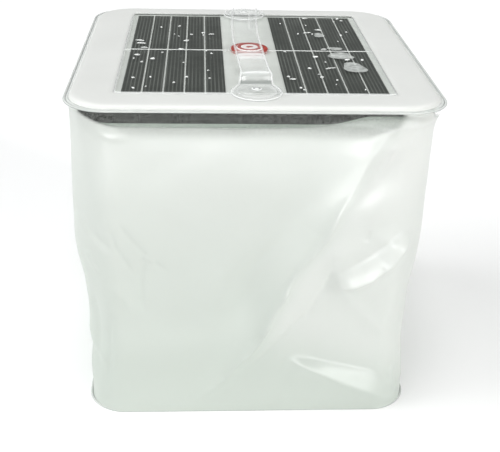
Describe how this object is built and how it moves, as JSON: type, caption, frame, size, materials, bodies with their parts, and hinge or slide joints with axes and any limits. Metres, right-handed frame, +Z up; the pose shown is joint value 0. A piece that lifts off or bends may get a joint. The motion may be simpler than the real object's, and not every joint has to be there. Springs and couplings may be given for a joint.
{
  "type": "solar lantern",
  "caption": "Collapsible cube lantern: frosted film body, white top with a solar module, power button, clear carry strap and a valve in the base.",
  "frame": {"origin": "middle of the base, on the surface that the lantern stands on", "axes": "+Z up, -Y towards the front, +X to the right seen from the front; the strap runs along Y"},
  "size_m": [0.152, 0.152, 0.155],
  "materials": {
    "frosted_film": "frosted translucent film, satin",
    "base_film": "frosted translucent film",
    "weld_film": "clear welded film edge, glossy",
    "white_film": "opaque white film, satin",
    "plate_plastic": "white moulded plastic",
    "gasket_foam": "dark closed-cell foam",
    "tray_plastic": "frosted grey-green moulded plastic",
    "module_board": "white laminate board",
    "solar_cell": "dark silicon with fine fingers",
    "tinned_ribbon": "tinned copper ribbon",
    "clear_laminate": "clear laminate, glossy",
    "red_print": "red ring",
    "button_cap": "pale moulded button",
    "clear_strap": "clear flexible plastic, glossy",
    "circuit_board": "white coated circuit board",
    "light_chip": "white light chip with yellow phosphor",
    "screw_steel": "plated steel",
    "chip_black": "moulded black",
    "switch_body": "moulded black switch",
    "cell_pouch": "silver laminated pouch",
    "foam_pad": "foam tape",
    "socket_plastic": "off-white nylon",
    "wire_cover": "insulated wire",
    "valve_plastic": "clear soft plastic",
    "valve_film": "clear thin film"
  },
  "bodies": {
    "base": {"bottom_sheet": "base_film", "bottom_rim_weld": "weld_film", "body_sleeve": "frosted_film", "sleeve_seam": "weld_film", "valve_collar": "valve_plastic", "valve_diaphragm": "valve_film"},
    "valve": {"valve_stem": "valve_plastic", "valve_flap": "valve_film"},
    "valve_cap": {"valve_cap": "valve_plastic", "valve_tether": "valve_plastic"},
    "head": {"top_sheet": "white_film", "top_rim_weld": "weld_film", "top_plate": "plate_plastic", "panel_gasket": "gasket_foam", "solar_backing": "module_board", "solar_cells_left": "solar_cell", "solar_cells_right": "solar_cell", "cell_ribbons": "tinned_ribbon", "solar_cover": "clear_laminate", "button_ring": "red_print", "strap_patch_front": "clear_strap", "strap_patch_rear": "clear_strap", "handle_strap": "clear_strap", "strap_bosses": "clear_strap", "electronics_tray": "tray_plastic", "main_board": "circuit_board", "board_screws": "screw_steel", "light_chips": "light_chip", "board_components": "chip_black", "tact_switch": "switch_body", "battery_pad": "foam_pad", "battery": "cell_pouch", "battery_socket": "socket_plastic", "battery_leads": "wire_cover", "panel_leads": "wire_cover"},
    "button": {"power_button": "button_cap"}
  },
  "joints": [
    {"name": "collapse", "type": "slide", "parent": "base", "child": "head", "axis": [0, 0, 1], "range_m": [-0.12, 0], "deforming": ["body_sleeve", "sleeve_seam"]},
    {"name": "button_press", "type": "slide", "parent": "head", "child": "button", "axis": [0, 0, 1], "range_m": [-0.0006, 0], "stiffness_N_per_m": 1500},
    {"name": "valve_pull", "type": "slide", "parent": "base", "child": "valve", "axis": [0, 0, 1], "range_m": [-0.01, 0], "deforming": ["valve_diaphragm"]},
    {"name": "cap_open", "type": "hinge", "parent": "valve", "child": "valve_cap", "pos_m": [0.0076, 0, 0.0013], "axis": [0, -1, 0], "range_deg": [0, 120]}
  ]
}
